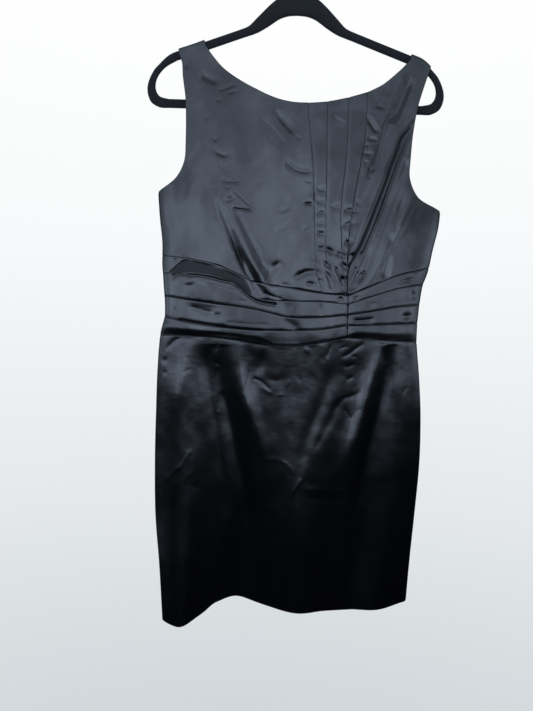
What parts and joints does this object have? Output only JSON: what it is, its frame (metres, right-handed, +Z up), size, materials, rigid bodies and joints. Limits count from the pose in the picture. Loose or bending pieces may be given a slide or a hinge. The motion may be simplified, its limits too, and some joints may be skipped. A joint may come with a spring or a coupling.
{
  "type": "sleeveless cocktail dress on a hanger",
  "caption": "Sleeveless satin sheath dress with a pleated bodice and a folded waist band, hung on a slim hanger.",
  "frame": {"origin": "inside top of the hanger's hook, where it rests on a rail", "axes": "+Z up, the dress's front faces -Y, +X to the right as the front is seen, which is the wearer's left"},
  "size_m": [0.45, 0.0725, 1.0037],
  "materials": {
    "satin": "near-black satin",
    "zip_tape": "plain woven",
    "zip_metal": "black enamel",
    "flock": "black velvet flocking",
    "hook": "polished"
  },
  "bodies": {
    "dress": {"bodice_front": "satin", "bodice_back_left": "satin", "bodice_back_right": "satin", "midriff_left": "satin", "midriff_right": "satin", "skirt_front": "satin", "skirt_back_left": "satin", "skirt_back_right": "satin", "zip_tape": "zip_tape", "zip_slider": "zip_metal", "hanger_body": "flock", "hanger_hook": "hook"},
    "pull_tab": {"zip_pull_tab": "zip_metal"}
  },
  "joints": [
    {"name": "pull_tab_swing", "type": "hinge", "parent": "dress", "child": "pull_tab", "pos_m": [0.004, 0.01575, -0.236], "axis": [1, 0, 0], "range_deg": [0, 170]}
  ]
}
